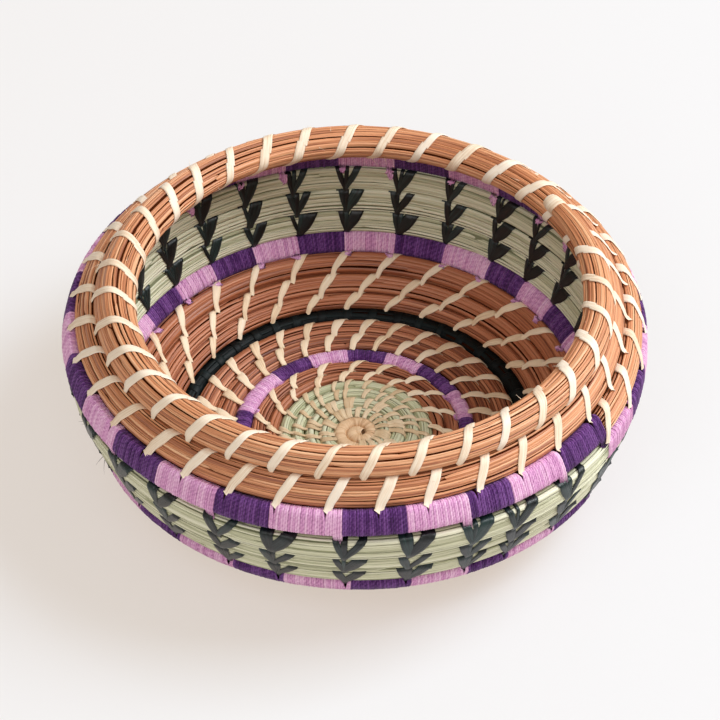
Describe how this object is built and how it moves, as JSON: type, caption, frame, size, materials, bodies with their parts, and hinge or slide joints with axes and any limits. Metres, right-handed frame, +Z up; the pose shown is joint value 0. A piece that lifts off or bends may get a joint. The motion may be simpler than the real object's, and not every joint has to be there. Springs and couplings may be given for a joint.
{
  "type": "pine needle basket",
  "caption": "Small open bowl coiled from pine needles and grass, sewn with cream and black raffia, with bands of pink and purple thread.",
  "frame": {"origin": "centre of the bowl's bounding box at the level of the surface that it stands on", "axes": "+Z up out of the open bowl. -Y faces the viewer of the picture. The coil rises counter-clockwise seen from above, and its bands change 32 degrees clockwise of +X."},
  "size_m": [0.162, 0.1636, 0.0699],
  "materials": {
    "needles": "dry pine needles, smooth, faint sheen",
    "grass": "dried pale green grass stalks, matt",
    "cream_raffia": "natural raffia strip, creased, satin",
    "black_raffia": "black dyed raffia strip, satin",
    "pink_thread": "thread wound side by side, soft sheen",
    "purple_thread": "thread wound side by side, soft sheen"
  },
  "bodies": {
    "root": {"floor_grass_coil": "grass", "start_raffia_wrap": "cream_raffia", "floor_needle_coil": "needles", "floor_band_core": "needles", "floor_band_pink_thread": "pink_thread", "floor_band_purple_thread": "purple_thread", "outer_floor_coil": "needles", "base_ring_core": "needles", "base_ring_black_raffia": "black_raffia", "lower_wall_coil": "needles", "lower_band_core": "needles", "lower_band_pink_thread": "pink_thread", "lower_band_purple_thread": "purple_thread", "grass_wall_coil": "grass", "black_raffia_ferns": "black_raffia", "upper_band_core": "needles", "upper_band_pink_thread": "pink_thread", "upper_band_purple_thread": "purple_thread", "rim_coil": "needles", "floor_raffia": "cream_raffia", "outer_floor_raffia": "cream_raffia", "lower_wall_raffia": "cream_raffia", "rim_raffia": "cream_raffia", "rim_end_knot": "cream_raffia"}
  },
  "joints": []
}
